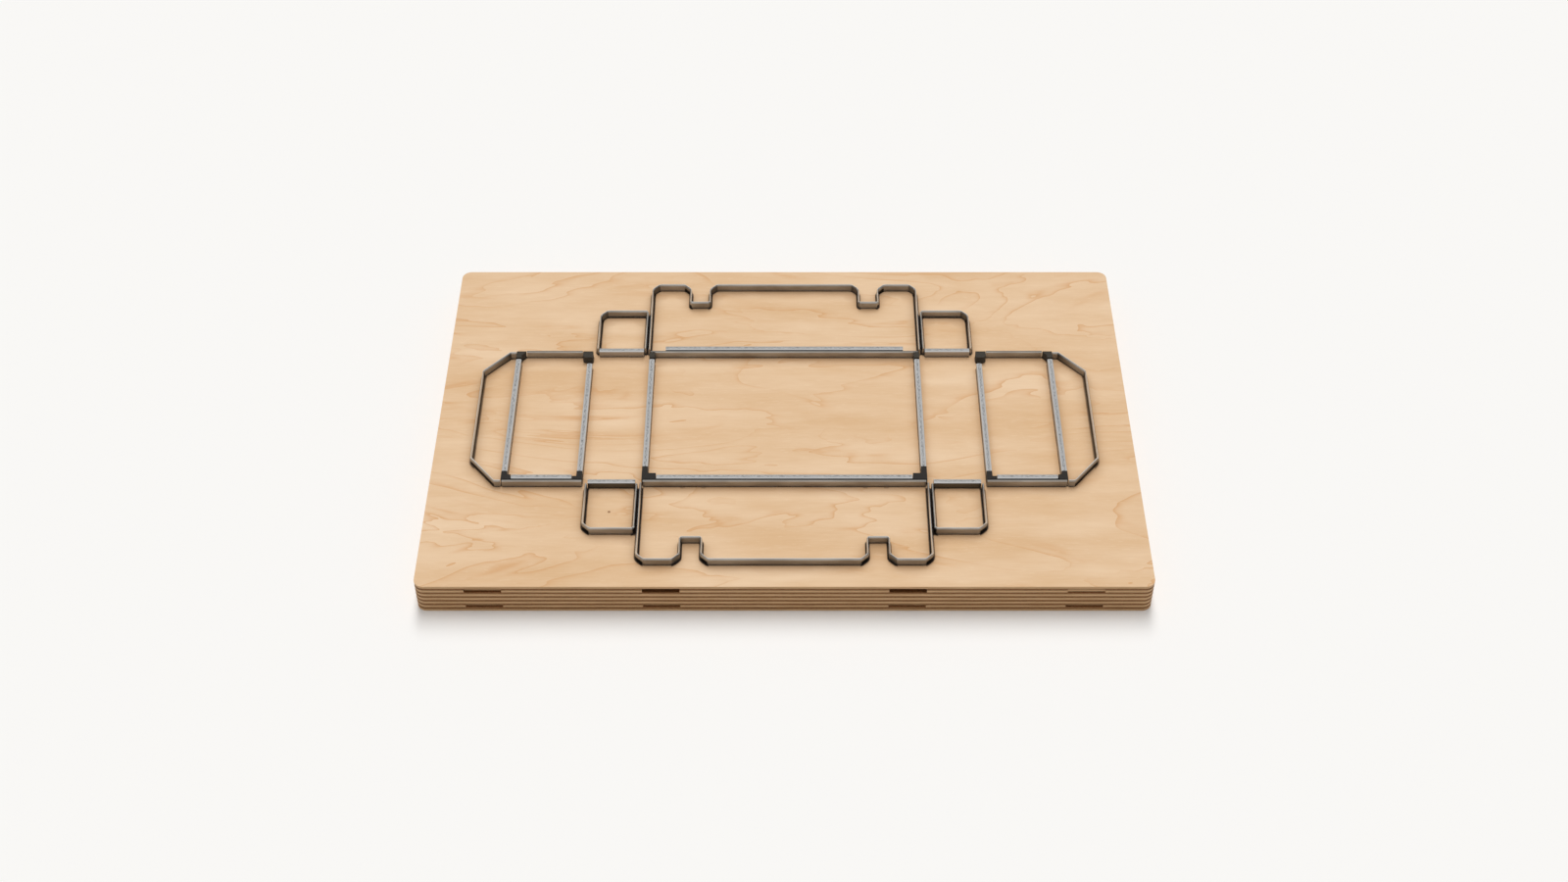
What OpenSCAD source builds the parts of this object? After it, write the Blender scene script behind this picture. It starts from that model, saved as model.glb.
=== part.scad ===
// Steel rule die for a folded carton blank: bent cutting rules, creasing rules and
// rubber corner pads set in a laser-cut plywood dieboard.
// Millimetres, +Z up. The origin is the middle of the board's underside,
// +X runs along the board and +Y runs to its back edge.

/* [Dieboard] */
// Thickness of the plywood board
board_t = 18.2; // [15:0.1:22]
// Radius of the board's four corners
corner_r = 5; // [2:0.5:12]
// Number of veneers glued up in the board
ply_count = 13; // [9:2:15]
// Depth by which every second veneer stands back from the sawn edge
ply_relief = 0.15; // [0.05:0.05:0.4]
// Wood left between the end flaps and the board's ends
side_margin = 20.4; // [12:0.2:40]
// Wood left behind the back panel
back_margin = 15.8; // [10:0.2:40]
// Wood left in front of the front panel
front_margin = 14.7; // [10:0.1:40]

/* [Edge slots] */
// Length of each slot in the front edge
slot_l = 18.6; // [8:0.2:26]
// Height of the upper slots
upper_slot_h = 2.7; // [1.4:0.1:3.6]
// Depth of the upper slots from the board's face
upper_slot_top = 1.9; // [1:0.1:3]
// Height of the lower slots
lower_slot_h = 2; // [1.2:0.1:3]
// Depth of the lower slots from the board's underside
lower_slot_foot = 2.8; // [1:0.1:4]
// Depth of the two inner upper slots into the edge
inner_slot_depth = 5; // [2:0.5:9]
// Depth of the left outer upper slot into the edge
left_slot_depth = 1.4; // [0.6:0.1:9]
// Depth of the right outer upper slot into the edge
right_slot_depth = 0.7; // [0.6:0.1:9]
// Depth of the four lower slots into the edge
lower_slot_depth = 1.2; // [0.6:0.1:9]
// Middle of the inner slots from the board's centre line
inner_slot_x = 61; // [40:0.5:80]
// Middle of the outer slots from the board's end
outer_slot_inset = 34; // [20:0.5:60]

/* [Carton blank] */
// Width of the base panel between its two creases
base_w = 144; // [110:1:180]
// Depth of the base panel between its front and back rules
base_d = 96.9; // [80:0.1:130]
// Width of the wall panel beside the base
wall_w = 33.6; // [26:0.2:45]
// Width of the strip panel beyond the wall
strip_w = 38.8; // [28:0.2:50]
// Reach of the end flap beyond its crease
flap_reach = 18.2; // [12:0.2:30]
// Length of the straight stubs at the flap's ends
stub_l = 3.1; // [2:0.1:6]
// Depth of the flap's slanted corner at the back
flap_slant_back = 14.4; // [8:0.2:24]
// Depth of the flap's slanted corner at the front
flap_slant_front = 16.4; // [8:0.2:24]
// Setback of the flap's back stub from the back rule line
flap_setback = 0.9; // [0:0.1:2]
// Reach of the back panel from the back rule line
back_reach = 55; // [46:0.5:75]
// Reach of the front panel from the front rule line
front_reach = 53.6; // [46:0.2:75]
// Distance of the panel's side rules outside the base crease
panel_over = 1.75; // [1:0.05:2.5]
// Middle of each panel notch from the panel's side rule
notch_in = 26.8; // [22:0.1:34]
// Width of the panel notches
notch_w = 10.8; // [7:0.2:16]
// Depth of the panel notches
notch_d = 14.7; // [9:0.1:20]
// Distance of a tab's outer rule inside the wall's outer crease
tab_ease = 3.8; // [2.5:0.1:8]
// Distance between a tab's inner rule and the panel's side rule
tab_gap = 2.1; // [1.7:0.1:3.5]
// Reach of the tabs from the rule lines
tab_reach = 33; // [24:0.5:44]
// Tab crease line behind the back rule line
back_tab_fold = 1.6; // [0:0.05:2]
// Tab crease line in front of the front rule line
front_tab_fold = 0.15; // [0:0.05:2]

/* [Rules] */
// Thickness of the cutting rule, three points
cut_t = 1.05; // [0.71:0.01:1.4]
// Height of the cutting edge above the board
cut_rise = 4.6; // [4:0.1:6]
// Angle between the two bevels of the cutting edge
edge_angle = 54; // [42:1:60]
// Width of the fine flat left on the cutting edge
edge_flat = 0.1; // [0.05:0.01:0.2]
// Thickness of the creasing rule, eight points
crease_t = 2.84; // [2.1:0.02:3.2]
// Height of the crease's crown above the board
crease_rise = 4.1; // [3.4:0.1:5]
// Height of the round of the crease's crown
crown_h = 0.5; // [0.2:0.05:0.9]
// Distance from a rule line to the crease that stands behind it
pair_pitch = 3.2; // [2.8:0.1:5]
// Length by which a bevelled corner cuts off each of its legs
corner_cut = 3.6; // [3:0.1:5]
// Bend radius at the two bends of a bevelled corner, to the middle of the rule
corner_bend = 2.6; // [0.9:0.1:3]
// Bend radius of the tight corners, to the middle of the rule
tight_bend = 1.2; // [0.9:0.1:2]
// Room between a rule and each wall of its kerf
kerf_room = 0.04; // [0.02:0.01:0.1]
// Gap from the rule lines to the feet of the panel's side rules
panel_foot = 1.6; // [1.2:0.1:3]
// Gap from the rule lines to the feet of the tab rules
tab_foot = 2.3; // [1.2:0.1:4]
// Overhang of the wall and centre rules past the crease lines
rule_over = 0.8; // [0.2:0.1:1]
// Gap between the end of a flap's stub and the pad beside it
stub_gap = 0.25; // [0.1:0.05:1]
// Distance of the back crease's ends inside the base creases
back_crease_inset = 7.2; // [4:0.2:20]

/* [Bridges] */
// Width of the wood bridges left across the kerfs
bridge_w = 7; // [4:0.5:9]
// Greatest spacing of the bridges along a straight rule
bridge_pitch = 52; // [36:1:80]
// Room between a bridge and the notch cut in the rule over it
bridge_room = 0.3; // [0.1:0.05:0.5]

/* [Corner pads] */
// Height of the rubber pads above the board
pad_h = 4.3; // [3:0.1:6]
// Gap between the pads and the rules that end at them
pad_gap = 0.3; // [0.1:0.05:0.5]
// Length of the back pads along the creases
back_pad_l = 4.8; // [3:0.1:8]
// Reach of the back outer pads along the wall rule
back_outer_reach = 3.7; // [2.6:0.1:8]
// Width of the back outer pads where they meet the wall rule
back_outer_tip = 0.6; // [0.4:0.1:1]
// Length of the back outer pads' side that runs straight, before its slant
back_outer_side = 1.8; // [0.5:0.1:2]
// Reach of the back middle pads along the wall rule
back_middle_reach = 4; // [2.6:0.1:8]
// Cut corner of the back middle pads
back_middle_cut = 1.2; // [0.4:0.1:2]
// Gap between the back pads and the ends of the creases
back_crease_gap = 1; // [0.3:0.1:3]
// Gap between the back middle pads and the ends of the middle creases
middle_crease_gap = 4.5; // [0.3:0.1:8]
// Length of the front outer and middle pads along the creases
front_pad_l = 5.8; // [4.5:0.1:10]
// Length of the front inner pads along the creases
front_inner_l = 9.1; // [5.5:0.1:14]
// Reach of the front outer pads along the wall crease
front_outer_reach = 3.4; // [2.6:0.1:8]
// Width of the front outer pads' short leg
front_outer_leg = 3.3; // [2:0.1:4]
// Reach of the front middle pads along the wall crease
front_middle_reach = 3.6; // [2.6:0.1:8]
// Width of the front middle pads' short leg
front_middle_leg = 2.2; // [1.5:0.1:4]
// Reach of the front inner pads along the base crease
front_inner_reach = 5.8; // [2.6:0.1:10]
// Width of the front inner pads' short leg
front_inner_leg = 4.3; // [2:0.1:5]

/* [Hidden] */
$fn = 96;
// Extra length that carries a cutting shape clear of the face it cuts
past = 1;
// Swell of the steel at a bend, and the length by which a bend laps the stretches it joins
bend_swell = 0.01;
bend_lap = 0.08;
// Shortest straight stretch that gets a bridge, in bridge widths
bridged_from = 2.4;

WOOD = "burlywood";
STEEL = "silver";
CREASE_STEEL = "lightgray";
RUBBER = "#26241f";

// Lines of the blank, on the +X side
inner_x = base_w / 2;
middle_x = inner_x + wall_w;
outer_x = middle_x + strip_w;
flap_x = outer_x + flap_reach;
panel_x = inner_x + panel_over;
tab_inner_x = panel_x + tab_gap;
tab_outer_x = middle_x - tab_ease;
notch_x = panel_x - notch_in;
stub_x = outer_x + crease_t / 2 + stub_gap;
flap_corner_x = stub_x + stub_l;

// Board size and the blank's two rule lines
board_w = 2 * (flap_x + side_margin);
board_d = front_margin + front_reach + base_d + back_reach + back_margin;
front_y = front_margin + front_reach - board_d / 2;
back_y = front_y + base_d;

// Steel above the underside, and the seats of the pads
cut_h = board_t + cut_rise;
crease_h = board_t + crease_rise;
bevel_h = (cut_t - edge_flat) / 2 / tan(edge_angle / 2);
crown_r = (pow(crease_t / 2, 2) + pow(crown_h, 2)) / (2 * crown_h);
back_pad_y = back_y - back_pad_l;
front_pad_y = front_y + cut_t / 2 + pad_gap;

// Rule line of the back (+1) or front (-1) side, moved outwards by a distance
function fold_y(side, out) = side > 0 ? back_y + out : front_y - out;

// Paths of the rules: points [x, y, bend radius], for the +X side unless they are symmetric
function half_panel(side, reach) = [
    [panel_x, fold_y(side, panel_foot), 0],
    [panel_x, fold_y(side, reach - corner_cut), corner_bend],
    [panel_x - corner_cut, fold_y(side, reach), corner_bend],
    [notch_x + notch_w / 2 + corner_cut, fold_y(side, reach), corner_bend],
    [notch_x + notch_w / 2, fold_y(side, reach - corner_cut), corner_bend],
    [notch_x + notch_w / 2, fold_y(side, reach - notch_d), tight_bend],
    [notch_x - notch_w / 2, fold_y(side, reach - notch_d), tight_bend],
    [notch_x - notch_w / 2, fold_y(side, reach - corner_cut), corner_bend],
    [notch_x - notch_w / 2 - corner_cut, fold_y(side, reach), corner_bend]
];
function other_half(path) = [for (i = [len(path) - 1 : -1 : 0]) [-path[i][0], path[i][1], path[i][2]]];
function panel_path(side, reach) = concat(half_panel(side, reach), other_half(half_panel(side, reach)));
function tab_path(side) = [
    [tab_outer_x, fold_y(side, tab_foot), 0],
    [tab_outer_x, fold_y(side, tab_reach - corner_cut), corner_bend],
    [tab_outer_x - corner_cut, fold_y(side, tab_reach), corner_bend],
    [tab_inner_x, fold_y(side, tab_reach), tight_bend],
    [tab_inner_x, fold_y(side, tab_foot), 0]
];
flap_back_y = back_y - flap_setback;
flap_path = [
    [stub_x, flap_back_y, 0],
    [flap_corner_x, flap_back_y, tight_bend],
    [flap_x, flap_back_y - flap_slant_back, tight_bend],
    [flap_x, front_y + flap_slant_front, tight_bend],
    [flap_corner_x, front_y, tight_bend],
    [stub_x, front_y, 0]
];
function centre_cut_path(side) = [
    [-inner_x - rule_over, fold_y(side, 0), 0],
    [inner_x + rule_over, fold_y(side, 0), 0]
];
back_wall_path = [
    [middle_x + back_middle_reach + pad_gap, back_y, 0],
    [outer_x - back_outer_reach - pad_gap, back_y, 0]
];
front_wall_path = [
    [middle_x - crease_t / 2, front_y, 0],
    [outer_x + rule_over, front_y, 0]
];
back_crease_path = [
    [-inner_x + back_crease_inset, back_y + pair_pitch, 0],
    [inner_x - back_crease_inset, back_y + pair_pitch, 0]
];
front_crease_end = inner_x - front_inner_reach - pad_gap;
front_crease_path = [
    [-front_crease_end, front_y + pair_pitch, 0],
    [front_crease_end, front_y + pair_pitch, 0]
];
wall_crease_path = [
    [middle_x + front_middle_reach + pad_gap, front_y + pair_pitch, 0],
    [outer_x - front_outer_reach - pad_gap, front_y + pair_pitch, 0]
];
tab_crease_ease = cut_t / 2 + pad_gap;
function tab_crease_path(side) = [
    [tab_inner_x + tab_crease_ease, fold_y(side, side > 0 ? back_tab_fold : front_tab_fold), 0],
    [tab_outer_x - tab_crease_ease, fold_y(side, side > 0 ? back_tab_fold : front_tab_fold), 0]
];
function side_crease_path(x, front_l, back_gap) = [
    [x, front_pad_y + front_l + pad_gap, 0],
    [x, back_pad_y - back_gap, 0]
];
outer_crease_path = side_crease_path(outer_x, front_pad_l, back_crease_gap);
middle_crease_path = side_crease_path(middle_x, front_pad_l, middle_crease_gap);
inner_crease_path = side_crease_path(inner_x, front_inner_l, back_crease_gap);

// Geometry of a path: directions, turns, and how much of each stretch its bends take
function flat(p) = [p[0], p[1]];
function run(path, i) = flat(path[i + 1]) - flat(path[i]);
function heading(path, i) = atan2(run(path, i)[1], run(path, i)[0]);
function swing(a) = a > 180 ? a - 360 : a < -180 ? a + 360 : a;
function turn(path, i) = swing(heading(path, i) - heading(path, i - 1));
function taken(path, i) =
    i == 0 || i == len(path) - 1 ? 0 : path[i][2] * tan(abs(turn(path, i)) / 2);
function straight(path, i) = norm(run(path, i)) - taken(path, i) - taken(path, i + 1);
function bridges(l) = l < bridged_from * bridge_w ? 0 : ceil(l / bridge_pitch);
function bridge_at(l, i) = l * (i + 0.5) / bridges(l);

// Moves its children to the start of a straight stretch, with +X along it
module along(path, i) {
    translate(concat(flat(path[i]), 0))
        rotate(heading(path, i))
            translate([taken(path, i), 0, 0])
                children();
}

// Turns a section, drawn about the middle of the rule, around the bend at a point
module bend(path, i) {
    r = path[i][2];
    left = turn(path, i) > 0;
    lap = bend_lap / r * 180 / PI;
    along(path, i)
        translate([0, left ? r : -r, 0])
            rotate((left ? -90 - turn(path, i) : 90) - lap)
                rotate_extrude(angle = abs(turn(path, i)) + 2 * lap)
                    translate([r, 0])
                        children();
}

// Sweeps its first child along every stretch of a path, and its second around every bend
module sweep(path) {
    for (i = [0 : len(path) - 2])
        along(path, i)
            rotate([90, 0, 90])
                linear_extrude(straight(path, i))
                    children(0);
    for (i = [1 : 1 : len(path) - 2])
        bend(path, i)
            children(1);
}

// Sections of the two rules, across and up from the underside
module cut_section(swell) {
    half = cut_t / 2 + swell;
    tip = edge_flat / 2 + swell;
    top = cut_h + swell;
    shoulder = top - bevel_h;
    polygon([[-half, 0], [half, 0], [half, shoulder], [tip, top], [-tip, top], [-half, shoulder]]);
}

module crease_section() {
    translate([-crease_t / 2, 0])
        square([crease_t, crease_h - crown_h]);
    intersection() {
        translate([0, crease_h - crown_r])
            circle(crown_r);
        translate([-crease_t / 2, crease_h - crown_h])
            square([crease_t, crown_h]);
    }
}

// Notches in a rule's foot that straddle the wood bridges
module bridge_notches(path, t) {
    for (i = [0 : len(path) - 2], k = [0 : 1 : bridges(straight(path, i)) - 1])
        along(path, i)
            translate([bridge_at(straight(path, i), k) - bridge_w / 2 - bridge_room, -t / 2 - past, -past])
                cube([bridge_w + 2 * bridge_room, t + 2 * past, past + board_t + bridge_room]);
}

module cut_rule(path) {
    color(STEEL)
        difference() {
            sweep(path) {
                cut_section(0);
                cut_section(bend_swell);
            }
            bridge_notches(path, cut_t);
        }
}

module crease_rule(path) {
    color(CREASE_STEEL)
        difference() {
            sweep(path)
                crease_section();
            bridge_notches(path, crease_t);
        }
}

// Kerf that takes a rule of one thickness, broken by its bridges
module kerf(path, t) {
    w = t + 2 * kerf_room;
    last = len(path) - 2;
    for (i = [0 : last]) {
        l = straight(path, i);
        n = bridges(l);
        for (k = [0 : n]) {
            from = k > 0 ? bridge_at(l, k - 1) + bridge_w / 2 : i > 0 ? 0 : -kerf_room;
            to = k < n ? bridge_at(l, k) - bridge_w / 2 : i < last ? l : l + kerf_room;
            along(path, i)
                translate([from, -w / 2, -past])
                    cube([to - from, w, board_t + 2 * past]);
        }
    }
    for (i = [1 : 1 : last])
        bend(path, i)
            translate([-w / 2 - bend_swell, -past])
                square([w + 2 * bend_swell, board_t + 2 * past]);
}

// Copies its children to both ends of the board, or to one of them
module both_ends() {
    children();
    mirror([1, 0, 0])
        children();
}

module at_end(end) {
    if (end > 0)
        children();
    else
        mirror([1, 0, 0])
            children();
}

// Outline of the board, stood back from its sawn edge
module board_outline(back) {
    w = board_w - 2 * back;
    d = board_d - 2 * back;
    square([w, d - 2 * corner_r], center = true);
    square([w - 2 * corner_r, d], center = true);
    for (x = [-1, 1], y = [-1, 1])
        translate([x * (w / 2 - corner_r), y * (d / 2 - corner_r)])
            circle(corner_r);
}

// Plywood before it is cut: every other veneer stands out from the core
module plywood() {
    ply_t = board_t / ply_count;
    translate([0, 0, ply_t / 2])
        linear_extrude(board_t - ply_t)
            board_outline(ply_relief);
    for (i = [0 : 2 : ply_count - 1])
        translate([0, 0, i * ply_t])
            linear_extrude(ply_t)
                board_outline(0);
}

// Pair of slots sunk into the front edge, the upper one to a depth of its own
module edge_slots(x, upper_depth) {
    translate([x - slot_l / 2, -board_d / 2 - past, 0]) {
        translate([0, 0, board_t - upper_slot_top - upper_slot_h])
            cube([slot_l, past + upper_depth, upper_slot_h]);
        translate([0, 0, lower_slot_foot])
            cube([slot_l, past + lower_slot_depth, lower_slot_h]);
    }
}

module dieboard() {
    color(WOOD)
        difference() {
            plywood();
            for (path = [panel_path(1, back_reach), panel_path(-1, front_reach)])
                kerf(path, cut_t);
            for (path = [centre_cut_path(1), centre_cut_path(-1)])
                kerf(path, cut_t);
            for (path = [back_crease_path, front_crease_path])
                kerf(path, crease_t);
            both_ends() {
                for (path = [tab_path(1), tab_path(-1), flap_path, back_wall_path, front_wall_path])
                    kerf(path, cut_t);
                for (path = [outer_crease_path, middle_crease_path, inner_crease_path, wall_crease_path])
                    kerf(path, crease_t);
                for (path = [tab_crease_path(1), tab_crease_path(-1)])
                    kerf(path, crease_t);
                edge_slots(inner_slot_x, inner_slot_depth);
            }
            edge_slots(outer_slot_inset - board_w / 2, left_slot_depth);
            edge_slots(board_w / 2 - outer_slot_inset, right_slot_depth);
        }
}

// Rubber pad cut to an outline and glued to the board's face
module pad(outline) {
    color(RUBBER)
        translate([0, 0, board_t])
            linear_extrude(pad_h)
                polygon(outline);
}

// Pad that fills the corner between the outer crease and the back wall rule
module back_outer_pad() {
    near = outer_x - crease_t / 2;
    far = outer_x + crease_t / 2;
    tip_x = outer_x - back_outer_reach;
    pad([
        [far, back_y], [far, back_pad_y], [near, back_pad_y], [near, back_pad_y + back_outer_side],
        [tip_x, back_y - back_outer_tip], [tip_x, back_y]
    ]);
}

// Block with one cut corner behind the middle crease
module back_middle_pad() {
    near = middle_x - crease_t / 2;
    far = middle_x + back_middle_reach;
    pad([
        [near, back_y], [near, back_pad_y], [far - back_middle_cut, back_pad_y],
        [far, back_pad_y + back_middle_cut], [far, back_y]
    ]);
}

// Short bar between the inner crease and the centre rule
module back_inner_pad() {
    near = inner_x - crease_t / 2;
    rear = back_y - cut_t / 2 - pad_gap;
    pad([[near, rear], [near, back_pad_y], [near + crease_t, back_pad_y], [near + crease_t, rear]]);
}

// L that joins a side crease at x to the crease across the front, its short leg reaching to leg_x
module front_pad(x, leg_x, length, leg) {
    out = leg_x > x ? 1 : -1;
    heel = x - out * crease_t / 2;
    inside = x + out * crease_t / 2;
    pad([
        [heel, front_pad_y], [leg_x, front_pad_y], [leg_x, front_pad_y + leg],
        [inside, front_pad_y + leg], [inside, front_pad_y + length], [heel, front_pad_y + length]
    ]);
}

module front_outer_pad() {
    front_pad(outer_x, outer_x - front_outer_reach, front_pad_l, front_outer_leg);
}

module front_middle_pad() {
    front_pad(middle_x, middle_x + front_middle_reach, front_pad_l, front_middle_leg);
}

module front_inner_pad() {
    front_pad(inner_x, inner_x - front_inner_reach, front_inner_l, front_inner_leg);
}

dieboard();
cut_rule(panel_path(1, back_reach));  // back_panel_cut_rule
cut_rule(panel_path(-1, front_reach));  // front_panel_cut_rule
at_end(-1) cut_rule(tab_path(1));  // back_left_tab_cut_rule
at_end(1) cut_rule(tab_path(1));  // back_right_tab_cut_rule
at_end(-1) cut_rule(tab_path(-1));  // front_left_tab_cut_rule
at_end(1) cut_rule(tab_path(-1));  // front_right_tab_cut_rule
at_end(-1) cut_rule(flap_path);  // left_flap_cut_rule
at_end(1) cut_rule(flap_path);  // right_flap_cut_rule
cut_rule(centre_cut_path(1));  // back_centre_cut_rule
cut_rule(centre_cut_path(-1));  // front_centre_cut_rule
at_end(-1) cut_rule(back_wall_path);  // back_left_wall_cut_rule
at_end(1) cut_rule(back_wall_path);  // back_right_wall_cut_rule
at_end(-1) cut_rule(front_wall_path);  // front_left_wall_cut_rule
at_end(1) cut_rule(front_wall_path);  // front_right_wall_cut_rule
crease_rule(back_crease_path);  // back_centre_crease_rule
crease_rule(front_crease_path);  // front_centre_crease_rule
at_end(-1) crease_rule(wall_crease_path);  // front_left_wall_crease_rule
at_end(1) crease_rule(wall_crease_path);  // front_right_wall_crease_rule
at_end(-1) crease_rule(tab_crease_path(1));  // back_left_tab_crease_rule
at_end(1) crease_rule(tab_crease_path(1));  // back_right_tab_crease_rule
at_end(-1) crease_rule(tab_crease_path(-1));  // front_left_tab_crease_rule
at_end(1) crease_rule(tab_crease_path(-1));  // front_right_tab_crease_rule
at_end(-1) crease_rule(outer_crease_path);  // left_outer_crease_rule
at_end(-1) crease_rule(middle_crease_path);  // left_middle_crease_rule
at_end(-1) crease_rule(inner_crease_path);  // left_inner_crease_rule
at_end(1) crease_rule(outer_crease_path);  // right_outer_crease_rule
at_end(1) crease_rule(middle_crease_path);  // right_middle_crease_rule
at_end(1) crease_rule(inner_crease_path);  // right_inner_crease_rule
at_end(-1) back_outer_pad();  // back_left_outer_pad
at_end(-1) back_middle_pad();  // back_left_middle_pad
at_end(-1) back_inner_pad();  // back_left_inner_pad
at_end(1) back_outer_pad();  // back_right_outer_pad
at_end(1) back_middle_pad();  // back_right_middle_pad
at_end(1) back_inner_pad();  // back_right_inner_pad
at_end(-1) front_outer_pad();  // front_left_outer_pad
at_end(-1) front_middle_pad();  // front_left_middle_pad
at_end(-1) front_inner_pad();  // front_left_inner_pad
at_end(1) front_outer_pad();  // front_right_outer_pad
at_end(1) front_middle_pad();  // front_right_middle_pad
at_end(1) front_inner_pad();  // front_right_inner_pad
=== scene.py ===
import math
from collections import namedtuple

import bpy
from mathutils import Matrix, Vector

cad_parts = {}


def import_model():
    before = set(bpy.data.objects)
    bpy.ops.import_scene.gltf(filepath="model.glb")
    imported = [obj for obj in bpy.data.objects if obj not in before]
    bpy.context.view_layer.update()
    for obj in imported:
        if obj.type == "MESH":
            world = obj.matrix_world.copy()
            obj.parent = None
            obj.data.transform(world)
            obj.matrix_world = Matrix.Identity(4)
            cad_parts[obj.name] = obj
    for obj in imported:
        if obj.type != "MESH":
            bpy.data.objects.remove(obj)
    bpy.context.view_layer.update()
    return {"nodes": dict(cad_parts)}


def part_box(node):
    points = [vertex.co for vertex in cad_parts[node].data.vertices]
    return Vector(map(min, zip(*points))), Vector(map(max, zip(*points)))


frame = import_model()

# Lengths that the materials use, in millimetres
MM_PER_M = 1000
BOARD_T = (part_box("dieboard")[1].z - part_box("dieboard")[0].z) * MM_PER_M
PLY_COUNT = 13
PLY_T = BOARD_T / PLY_COUNT
CUT_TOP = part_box("back_centre_cut_rule")[1].z * MM_PER_M

# Row of creases, from the front line of straight rules to the back one
ROW_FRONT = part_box("front_centre_cut_rule")[0].y * MM_PER_M
ROW_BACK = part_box("back_centre_cut_rule")[1].y * MM_PER_M
ROW_MIDDLE = (ROW_FRONT + ROW_BACK) / 2
HALF_ROW = (ROW_BACK - ROW_FRONT) / 2

# Legs of the bent rules, which go from front to back, by their distance from the board's middle
PANEL_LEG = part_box("back_panel_cut_rule")[1].x * MM_PER_M
NOTCH_MIDDLE = 46.95
NOTCH_W = 10.8
NOTCH_LEGS = (NOTCH_MIDDLE - NOTCH_W / 2, NOTCH_MIDDLE + NOTCH_W / 2)
TAB_LEGS = [corner.x * MM_PER_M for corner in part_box("back_right_tab_cut_rule")]
FLAP_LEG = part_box("right_flap_cut_rule")[1].x * MM_PER_M

# Runs of the bent rules, which go from left to right, and the bevelled corners of the front ones:
# the leg that a corner starts from, its way from there (1 outwards, -1 inwards) and the run it ends in
BACK_TAB_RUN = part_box("back_right_tab_cut_rule")[1].y * MM_PER_M
FRONT_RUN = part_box("front_panel_cut_rule")[0].y * MM_PER_M
FRONT_TAB_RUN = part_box("front_right_tab_cut_rule")[0].y * MM_PER_M
BEVEL = 3.6
FRONT_BEVELS = (
    (PANEL_LEG, -1, FRONT_RUN),
    (NOTCH_LEGS[1], 1, FRONT_RUN),
    (NOTCH_LEGS[0], -1, FRONT_RUN),
    (TAB_LEGS[1], -1, FRONT_TAB_RUN),
)

# Camera solved from the board's outline, in metres, degrees and millimetres of lens
CAMERA_PLACE = (-0.0002, -0.7962, 0.8081)
CAMERA_PITCH = 44.6
CAMERA_LENS = 48.48
SENSOR_W = 36.0

# Light: soft lamps in a row over the board, their tilts towards its back in degrees, and an even fill
LAMP_LEVEL = 0.87
LAMP_SPREAD = 17
LAMP_TILTS = (-8, 4, 16, 28, 40)
FILL_LEVEL = 0.2

# Range that most values of a noise fall in
NOISE_SPAN = (0.3, 0.7)


def srgb(red, green, blue):
    """Linear colour, with alpha, of an sRGB colour given in 0 to 255."""
    def linear(level):
        level /= 255
        return level / 12.92 if level <= 0.04045 else ((level + 0.055) / 1.055) ** 2.4
    return (linear(red), linear(green), linear(blue), 1.0)


# Floor: a plain pale sheet, its side in metres
PAPER = srgb(250, 249, 247)
FLOOR_SIZE = 8.0

# Darkening of the wood beside the rules: laser scorch with painted contact shade at their feet, and a wider
# painted soft shadow. A point is darkened where rules within reach_mm shut off its sky: fully where full_at
# of the sky is open, and not at all from gone_at on. The sky that counts leans outwards and back from
# straight up.
StainAndShade = namedtuple("StainAndShade", "reach_mm lean_out lean_back full_at gone_at strength")
LEG_SCORCH_AND_SHADE = StainAndShade(1.8, lean_out=0.03, lean_back=0.2, full_at=0.68, gone_at=0.9, strength=1.0)
SCORCH_AND_SHADE = StainAndShade(1.2, lean_out=0.05, lean_back=0.2, full_at=0.46, gone_at=0.78, strength=0.92)
SOFT_SHADOW = StainAndShade(8.0, lean_out=0.0, lean_back=0.4, full_at=0.5, gone_at=1.0, strength=0.5)
STAIN_AND_SHADE_SAMPLES = 16


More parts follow.
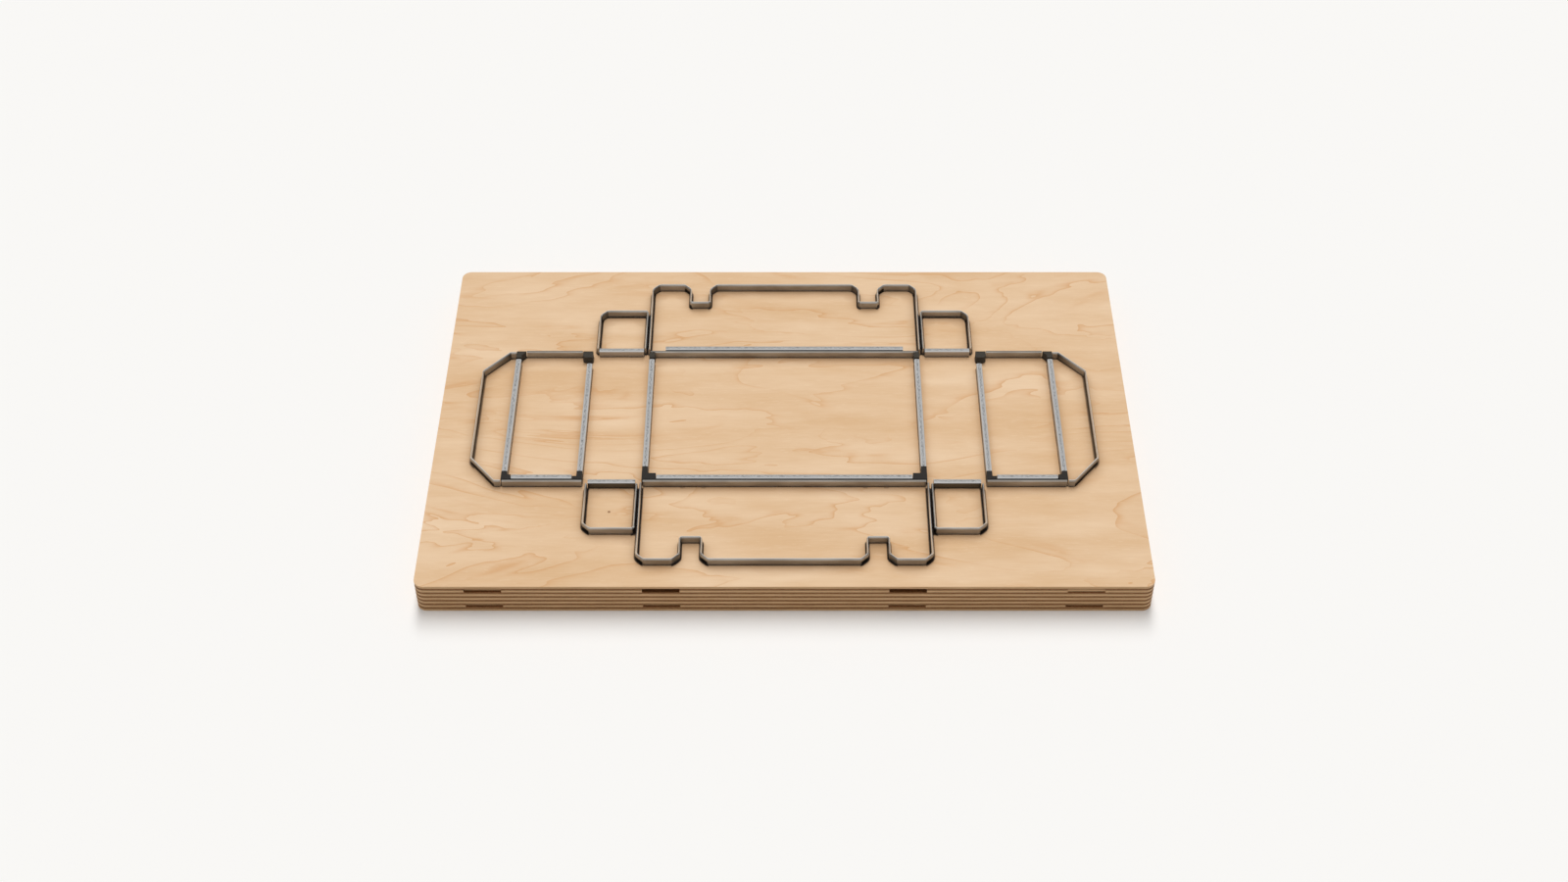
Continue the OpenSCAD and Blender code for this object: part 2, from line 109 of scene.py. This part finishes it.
class Shade:
    """One material's nodes, with short calls that add to them."""

    def __init__(self, name):
        self.material = bpy.data.materials.new(name)
        self.material.use_nodes = True
        self.tree = self.material.node_tree
        self.tree.nodes.clear()
        place = self.add("TexCoord", output="Object")
        self.mm = self.add("VectorMath", {0: place, "Scale": MM_PER_M}, operation="SCALE")
        self.x, self.y, self.z = self.split(self.mm)
        self.normal = self.add("TexCoord", output="Normal")

    def add(self, kind, inputs=None, output=0, **settings):
        """Adds a node, feeds its inputs and returns one output."""
        node = self.tree.nodes.new("ShaderNode" + kind)
        for key, value in settings.items():
            setattr(node, key, value)
        for key, value in (inputs or {}).items():
            self.feed(node.inputs[key], value)
        return node.outputs[output]

    def feed(self, socket, value):
        """Links a socket to another, or sets its value."""
        if isinstance(value, bpy.types.NodeSocket):
            self.tree.links.new(value, socket)
        else:
            socket.default_value = value

    def math(self, operation, first, second=0.0):
        return self.add("Math", {0: first, 1: second}, operation=operation)

    def times(self, first, second):
        return self.math("MULTIPLY", first, second)

    def size(self, value):
        return self.math("ABSOLUTE", value)

    def away(self, value, middle):
        """How far a value is from a middle one, either way."""
        return self.size(self.math("SUBTRACT", value, middle))

    def most(self, *values):
        """Highest of the values."""
        highest = values[0]
        for value in values[1:]:
            highest = self.math("MAXIMUM", highest, value)
        return highest

    def step(self, value, low, high, to_low=0.0, to_high=1.0):
        """Smooth step from to_low to to_high as value goes from low to high."""
        inputs = {"Value": value, 1: low, 2: high, 3: to_low, 4: to_high}
        return self.add("MapRange", inputs, interpolation_type="SMOOTHSTEP")

    def split(self, vector):
        """X, Y and Z of a vector."""
        node = self.tree.nodes.new("ShaderNodeSeparateXYZ")
        self.feed(node.inputs[0], vector)
        return node.outputs[0], node.outputs[1], node.outputs[2]

    def distance(self, point):
        """Distance from a point, in millimetres."""
        inputs = {0: self.mm, 1: point}
        return self.add("VectorMath", inputs, output="Value", operation="DISTANCE")

    def noise(self, per_mm, detail=3.0, roughness=0.5, distortion=0.0):
        """Noise with its own scale along each axis, in features per millimetre."""
        place = self.add("VectorMath", {0: self.mm, 1: per_mm}, operation="MULTIPLY")
        inputs = {"Vector": place, "Scale": 1.0, "Detail": detail, "Roughness": roughness,
                  "Distortion": distortion}
        return self.add("TexNoise", inputs)

    def mix(self, factor, under, over):
        """Colour that goes from under to over as the factor goes from 0 to 1."""
        inputs = {0: factor, 6: under, 7: over}
        return self.add("Mix", inputs, output=2, data_type="RGBA")

    def shades(self, value, colours, span=NOISE_SPAN):
        """Colour between two, as value goes through a span."""
        node = self.tree.nodes.new("ShaderNodeValToRGB")
        self.feed(node.inputs[0], value)
        for element, position, colour in zip(node.color_ramp.elements, span, colours):
            element.position = position
            element.color = colour
        return node.outputs[0]

    def stain_and_shade(self, kind):
        """Strength of a darkening of painted shade, with laser burn for some kinds, from the share of the
        sky that the rules beside it leave open.
        """
        outwards = self.times(self.math("SIGN", self.x), kind.lean_out)
        leaning = self.add("CombineXYZ", {0: outwards, 1: kind.lean_back, 2: 1.0})
        upwards = self.add("VectorMath", {0: leaning}, operation="NORMALIZE")
        inputs = {"Distance": kind.reach_mm / MM_PER_M, "Normal": upwards}
        open_sky = self.add("AmbientOcclusion", inputs, output="AO", samples=STAIN_AND_SHADE_SAMPLES)
        return self.step(open_sky, kind.full_at, kind.gone_at, kind.strength, 0.0)

    def bump(self, height, distance_mm, strength):
        inputs = {"Height": height, "Distance": distance_mm / MM_PER_M, "Strength": strength}
        return self.add("Bump", inputs)

    def finish(self, **sockets):
        """Feeds the shader's sockets and returns the material."""
        shader = self.tree.nodes.new("ShaderNodeBsdfPrincipled")
        for key, value in sockets.items():
            self.feed(shader.inputs[key.replace("_", " ")], value)
        out = self.tree.nodes.new("ShaderNodeOutputMaterial")
        self.tree.links.new(shader.outputs[0], out.inputs[0])
        return self.material


# Bands where the legs' scorch and painted shade show, in millimetres, and the flaps' share of it
LEG_BAND = 1.8
BAND_EASE = 0.6
ROW_EASE = 1.5
FLAP_SHARE = 0.7


def near(shade, value, middle, half_band=LEG_BAND):
    """1 inside a band on both sides of a middle, easing to 0 just outside it."""
    return shade.step(shade.away(value, middle), half_band + BAND_EASE, half_band)


def beside_legs(shade):
    """1 beside the legs, under the front bevels and along the back tabs' runs, less beside the flaps'
    legs, and 0 elsewhere."""
    off_middle = shade.size(shade.x)
    tab_middle = sum(TAB_LEGS) / 2
    tab_half = (TAB_LEGS[1] - TAB_LEGS[0]) / 2
    on_tab = near(shade, off_middle, tab_middle, tab_half)
    bands = [shade.times(near(shade, shade.y, BACK_TAB_RUN), on_tab)]
    bands += [near(shade, off_middle, leg) for leg in (PANEL_LEG, *TAB_LEGS)]
    bands += [near(shade, off_middle, leg, LEG_BAND / 2) for leg in NOTCH_LEGS]
    for leg, way, run in FRONT_BEVELS:
        beside_leg = near(shade, off_middle, leg + way * BEVEL / 2, BEVEL / 2)
        bands.append(shade.times(beside_leg, near(shade, shade.y, run, BEVEL)))
    past_row = shade.step(shade.away(shade.y, ROW_MIDDLE), HALF_ROW, HALF_ROW + ROW_EASE)
    flap = shade.times(near(shade, off_middle, FLAP_LEG), FLAP_SHARE)
    return shade.most(shade.times(shade.most(*bands), past_row), flap)


# Face veneer: scales in features per millimetre, spans of noise, strengths and colours of its layers
TONE_SCALE = (0.012, 0.05, 0.4)
TONES = (srgb(222, 185, 144), srgb(237, 207, 173))
FIGURE_SCALE = (0.006, 0.019, 0.4)
FIGURE_LINES = 10
FIGURE_SHARPNESS = 9
FIGURE_PATCH_SCALE = (0.014, 0.04, 0.4)
FIGURE_PATCH_SPAN = (0.32, 0.58)
FIGURE_STRENGTH = 0.62
FIGURE_BROWN = srgb(208, 150, 92)
FIBRE_SCALE = (0.06, 1.6, 1.6)
FIBRE_SPAN = (0.25, 0.75)
FIBRE_STRENGTH = 0.07
FIBRE_BROWN = srgb(176, 132, 88)
FLECK_SCALE = (0.2, 1.3, 1.3)
FLECK_SPAN = (0.62, 0.75)
FLECK_STRENGTH = 0.22
FLECK_PALE = srgb(240, 214, 182)
KNOT = (-89.2, -67.9, BOARD_T)
KNOT_CORE_R = 0.4
KNOT_R = 1.0
KNOT_STRENGTH = 0.8
KNOT_BROWN = srgb(120, 74, 40)


def face_veneer(shade):
    """Colour of the rotary-cut birch face, with its grain along X, and its fibres."""
    tone = shade.noise(TONE_SCALE, detail=4.0, roughness=0.6)
    colour = shade.shades(tone, TONES)
    height = shade.noise(FIGURE_SCALE, detail=4.0, distortion=0.7)
    ring = shade.math("FRACT", shade.times(height, FIGURE_LINES))
    line = shade.math("POWER", ring, FIGURE_SHARPNESS)
    patch = shade.noise(FIGURE_PATCH_SCALE, detail=2.0)
    line = shade.times(line, shade.step(patch, *FIGURE_PATCH_SPAN, 0.0, FIGURE_STRENGTH))
    colour = shade.mix(line, colour, FIGURE_BROWN)
    fibre = shade.noise(FIBRE_SCALE, roughness=0.7)
    colour = shade.mix(shade.step(fibre, *FIBRE_SPAN, FIBRE_STRENGTH, 0.0), colour, FIBRE_BROWN)
    fleck = shade.noise(FLECK_SCALE, detail=1.0)
    colour = shade.mix(shade.step(fleck, *FLECK_SPAN, 0.0, FLECK_STRENGTH), colour, FLECK_PALE)
    knot = shade.step(shade.distance(KNOT), KNOT_CORE_R, KNOT_R, KNOT_STRENGTH, 0.0)
    return shade.mix(knot, colour, KNOT_BROWN), fibre


# Sawn edge: the plies' colours and scales, and where in a pair of plies the dark one starts
PALE_PLY = (srgb(190, 148, 102), srgb(226, 186, 140))
PALE_PLY_SCALE = (0.05, 0.05, 2.4)
DARK_PLY = (srgb(128, 86, 48), srgb(160, 114, 70))
DARK_PLY_SCALE = (1.1, 1.1, 2.0)
DARK_PLY_START = (0.49, 0.51)


def edge_plies(shade):
    """Colour of the sawn edge: pale and dark veneers in turn."""
    turn = shade.math("FRACT", shade.math("DIVIDE", shade.z, 2 * PLY_T))
    pale = shade.shades(shade.noise(PALE_PLY_SCALE, detail=4.0, roughness=0.6), PALE_PLY)
    dark = shade.shades(shade.noise(DARK_PLY_SCALE, roughness=0.6), DARK_PLY)
    return shade.mix(shade.step(turn, *DARK_PLY_START), pale, dark)


# Wood: what counts as a level face, how deep in millimetres the veneer's colour is gone and full,
# the colours of the painted soft shadow and of the scorch with painted shade, and the roughness between its
# fibres and on them
LEVEL_SPAN = (0.6, 0.8)
VENEER_GONE = 0.3
VENEER_FULL = 0.1
SOFT_SHADOW_BROWN = srgb(150, 108, 68)
SCORCH_AND_SHADE_BLACK = srgb(28, 18, 11)
WOOD_ROUGH = (0.62, 0.5)


def plywood():
    """Birch plywood: veneer on the two faces, darkened beside the rules by laser burn and painted shade,
    and plies on the edges and in the slots.
    """
    shade = Shade("birch_plywood")
    face, fibre = face_veneer(shade)
    # Painted soft shadow: the wood darkens to brown over several millimetres beside the rules, most in
    # front of them
    face = shade.mix(shade.stain_and_shade(SOFT_SHADOW), face, SOFT_SHADOW_BROWN)
    # Laser scorch with painted contact shade: a narrow near-black foot beside the rules, widest beside the
    # legs
    leg_scorch_and_shade = shade.times(shade.stain_and_shade(LEG_SCORCH_AND_SHADE), beside_legs(shade))
    scorch_and_shade = shade.most(shade.stain_and_shade(SCORCH_AND_SHADE), leg_scorch_and_shade)
    face = shade.mix(scorch_and_shade, face, SCORCH_AND_SHADE_BLACK)
    half = BOARD_T / 2
    level = shade.step(shade.size(shade.split(shade.normal)[2]), *LEVEL_SPAN)
    outermost = shade.step(shade.away(shade.z, half), half - VENEER_GONE, half - VENEER_FULL)
    colour = shade.mix(shade.times(level, outermost), edge_plies(shade), face)
    rough = shade.step(fibre, *NOISE_SPAN, *WOOD_ROUGH)
    relief = shade.bump(fibre, distance_mm=0.05, strength=0.35)
    return shade.finish(Base_Color=colour, Roughness=rough, Normal=relief, Specular_IOR_Level=0.3)


# Both kinds of steel: fine brush marks along the strip
BRUSH_SCALE = (0.08, 0.08, 7.0)


def brush_marks(shade):
    """Brush marks, and the relief that they give the steel."""
    marks = shade.noise(BRUSH_SCALE, roughness=0.6)
    return marks, shade.bump(marks, distance_mm=0.02, strength=0.3)


# Cutting rules: colours, and heights in millimetres down from the cutting edge
RULE_GREYS = (srgb(167, 165, 162), srgb(191, 189, 185))
RULE_ROUGH = (0.32, 0.46)
TARNISH_SCALE = (0.06, 0.06, 0.2)
TARNISH_SPAN = (0.35, 0.7)
TARNISH_GREY = srgb(116, 108, 100)
# Painted shade on the rules' sides: its colour and strength, and the unshaded band below the cutting edge
PAINTED_SHADE_BLACK = srgb(18, 16, 14)
PAINTED_SHADE_STRENGTH = 0.97
UNSHADED_H = 2.4
UNSHADED_EASE = 0.3
LEG_GROUND_H = 0.85
GROUND_EASE = 0.08

# Sides of a cutting rule, by how they face: 1 is outwards from the board's middle, -1 is towards it
OUTER_SIDE = (0.3, 0.6)
INNER_SLANT = (-0.25, -0.5)
INNER_SIDE = (-0.82, -0.97)
LEG_SIDE = (0.6, 0.85)

# The painted shade on inner slants darkens from the flaps' ends towards the middle: how far from
# the flap's leg, in millimetres, they are still unshaded and as dark as they get, and how dark that is
SLANT_UNSHADED = 2
SLANT_DARK = 16
SLANT_STRENGTH = 0.55


def painted_shade_on_rule(shade, outwards):
    """Painted shade: all of a leg's inner side, the foot of the outer sides and slants, some of the inner
    slants.
    """
    unshaded = CUT_TOP - UNSHADED_H
    foot = shade.step(shade.z, unshaded + UNSHADED_EASE, unshaded - UNSHADED_EASE)
    outer = shade.times(shade.step(outwards, *OUTER_SIDE), foot)
    inner = shade.step(outwards, *INNER_SIDE)
    not_inner = shade.step(outwards, *reversed(INNER_SIDE))
    slant = shade.times(shade.step(outwards, *INNER_SLANT), not_inner)
    fade = (FLAP_LEG - SLANT_UNSHADED, FLAP_LEG - SLANT_DARK)
    darkened = shade.step(shade.size(shade.x), *fade, 0.0, SLANT_STRENGTH)
    return shade.times(shade.most(outer, inner, shade.times(slant, darkened)), PAINTED_SHADE_STRENGTH)


def cutting_steel(name, tarnish, edge, ground_h):
    """Tarnished spring steel with a freshly ground edge, and painted shade on some of its sides."""
    shade = Shade(name)
    marks, relief = brush_marks(shade)
    body = shade.shades(marks, RULE_GREYS)
    blotch = shade.noise(TARNISH_SCALE)
    body = shade.mix(shade.step(blotch, *TARNISH_SPAN, *tarnish), body, TARNISH_GREY)
    outwards = shade.times(shade.split(shade.normal)[0], shade.math("SIGN", shade.x))
    # Painted shade: near-black on the legs' inner sides, at the foot of the outer sides and on some inner
    # slants
    body = shade.mix(painted_shade_on_rule(shade, outwards), body, PAINTED_SHADE_BLACK)
    depth = shade.step(shade.size(outwards), *LEG_SIDE, ground_h, LEG_GROUND_H)
    raised = shade.math("ADD", shade.z, depth)
    ground = shade.step(raised, CUT_TOP - GROUND_EASE, CUT_TOP + GROUND_EASE)
    colour = shade.mix(ground, body, edge)
    rough = shade.step(marks, *NOISE_SPAN, *RULE_ROUGH)
    return shade.finish(Base_Color=colour, Metallic=1.0, Roughness=rough, Normal=relief)


# Creasing rules: colours, and the scuffs on a crown that runs along X or along Y
CREASE_GREYS = (srgb(182, 182, 182), srgb(202, 202, 202))
CREASE_ROUGH = (0.4, 0.52)
SCUFF_ALONG_X = (0.5, 3.5, 3.5)
SCUFF_ALONG_Y = (3.5, 0.5, 3.5)
SCUFF_SPAN = (0.42, 0.62)
SCUFF_STRENGTH = 0.9
SCUFF_GREY = srgb(112, 114, 115)
CROWN_SPAN = (0.93, 0.99)
UPRIGHT_SPAN = (0.5, 0.2)


def creasing_steel(name, scuff_scale, side):
    """Pale steel, scuffed in fine dashes along the crown, with sides of another colour, which on some rules
    is a dark painted shade.
    """
    shade = Shade(name)
    marks, relief = brush_marks(shade)
    body = shade.shades(marks, CREASE_GREYS)
    up = shade.split(shade.normal)[2]
    dash = shade.step(shade.noise(scuff_scale, roughness=0.7), *SCUFF_SPAN)
    scuff = shade.times(shade.step(up, *CROWN_SPAN), dash)
    body = shade.mix(shade.times(scuff, SCUFF_STRENGTH), body, SCUFF_GREY)
    upright = shade.step(shade.size(up), *UPRIGHT_SPAN)
    colour = shade.mix(upright, body, side)
    rough = shade.step(marks, *NOISE_SPAN, *CREASE_ROUGH)
    return shade.finish(Base_Color=colour, Metallic=1.0, Roughness=rough, Normal=relief)


# Rubber: a fine grain, the same in every direction
GRAIN_SCALE = (3.0, 3.0, 3.0)
GRAIN_SPAN = (0.3, 0.75)
RUBBER_ROUGH = (0.7, 0.9)


def rubber(name, dark, pale):
    """Matt black rubber with a fine grain."""
    shade = Shade(name)
    grain = shade.noise(GRAIN_SCALE, roughness=0.7)
    colour = shade.shades(grain, (dark, pale), GRAIN_SPAN)
    rough = shade.step(grain, *NOISE_SPAN, *RUBBER_ROUGH)
    relief = shade.bump(grain, distance_mm=0.08, strength=0.5)
    return shade.finish(Base_Color=colour, Roughness=rough, Normal=relief)


def dress():
    """Gives every CAD node its material."""
    wood = plywood()
    # Front and back pads are one rubber in two copies: the darker front one is painted shade, the lighter
    # back one painted light
    front_pad = rubber("front_pad_rubber", srgb(22, 20, 18), srgb(40, 36, 33))
    back_pad = rubber("back_pad_rubber", srgb(42, 39, 34), srgb(66, 61, 54))
    bent_rule = cutting_steel(
        "bent_rule_steel", tarnish=(0.2, 0.55), edge=srgb(212, 211, 208), ground_h=0.2)
    straight_rule = cutting_steel(
        "straight_rule_steel", tarnish=(0.12, 0.46), edge=srgb(126, 124, 121), ground_h=0.28)
    side_crease = creasing_steel("side_crease_steel", SCUFF_ALONG_Y, side=srgb(178, 175, 170))
    # The dark sides of the cross creases and of the front tabs' creases are painted shade, where they stand
    # in narrow gaps and shadow
    cross_crease = creasing_steel("cross_crease_steel", SCUFF_ALONG_X, side=srgb(62, 60, 56))
    front_tab = creasing_steel("front_tab_crease_steel", SCUFF_ALONG_X, side=srgb(100, 96, 88))
    back_tab = creasing_steel("back_tab_crease_steel", SCUFF_ALONG_X, side=srgb(176, 172, 167))
    for name, node in frame["nodes"].items():
        at_back = name.startswith("back_")
        if name.endswith(("_centre_cut_rule", "_wall_cut_rule")):
            material = straight_rule
        elif name.endswith("_cut_rule"):
            material = bent_rule
        elif name.endswith(("_outer_crease_rule", "_middle_crease_rule", "_inner_crease_rule")):
            material = side_crease
        elif name.endswith("_tab_crease_rule"):
            material = back_tab if at_back else front_tab
        elif name.endswith("_crease_rule"):
            material = cross_crease
        elif name.endswith("_pad"):
            material = back_pad if at_back else front_pad
        else:
            material = wood
        node.data.materials.clear()
        node.data.materials.append(material)


def floor():
    """Plain pale floor under the board."""
    half = FLOOR_SIZE / 2
    corners = [(-half, -half, 0), (half, -half, 0), (half, half, 0), (-half, half, 0)]
    mesh = bpy.data.meshes.new("floor")
    mesh.from_pydata(corners, [], [(0, 1, 2, 3)])
    plane = bpy.data.objects.new("floor", mesh)
    bpy.context.scene.collection.objects.link(plane)
    shade = Shade("floor_paper")
    mesh.materials.append(shade.finish(Base_Color=PAPER, Roughness=0.9, Specular_IOR_Level=0.0))


def world():
    """Pale background for what is seen, mirrored or seen through, and a weaker fill for the rest."""
    studio = bpy.data.worlds.new("studio")
    bpy.context.scene.world = studio
    studio.use_nodes = True
    tree = studio.node_tree
    background = tree.nodes["Background"]
    background.inputs["Color"].default_value = PAPER
    path = tree.nodes.new("ShaderNodeLightPath")
    seen = path.outputs["Is Camera Ray"]
    for ray in ("Is Glossy Ray", "Is Transmission Ray"):
        either = tree.nodes.new("ShaderNodeMath")
        either.operation = "MAXIMUM"
        tree.links.new(seen, either.inputs[0])
        tree.links.new(path.outputs[ray], either.inputs[1])
        seen = either.outputs[0]
    level = tree.nodes.new("ShaderNodeMapRange")
    level.inputs["To Min"].default_value = FILL_LEVEL
    level.inputs["To Max"].default_value = 1.0
    tree.links.new(seen, level.inputs["Value"])
    tree.links.new(level.outputs[0], background.inputs["Strength"])


def lamps():
    """Soft lamps that share one level of light, from just in front of overhead to well behind."""
    for tilt in LAMP_TILTS:
        light = bpy.data.lights.new("overhead", "SUN")
        light.energy = LAMP_LEVEL * math.pi / len(LAMP_TILTS)
        light.angle = math.radians(LAMP_SPREAD)
        holder = bpy.data.objects.new("overhead", light)
        holder.rotation_euler = (-math.radians(tilt), 0, 0)
        holder.visible_glossy = False
        bpy.context.scene.collection.objects.link(holder)


def camera():
    """Camera at the photograph's viewing angle."""
    data = bpy.data.cameras.new("camera")
    data.lens = CAMERA_LENS
    data.sensor_width = SENSOR_W
    data.sensor_fit = "HORIZONTAL"
    holder = bpy.data.objects.new("camera", data)
    holder.location = CAMERA_PLACE
    holder.rotation_euler = (math.radians(CAMERA_PITCH), 0, 0)
    bpy.context.scene.collection.objects.link(holder)
    bpy.context.scene.camera = holder


dress()
floor()
world()
lamps()
camera()
bpy.context.scene.view_settings.view_transform = "Standard"
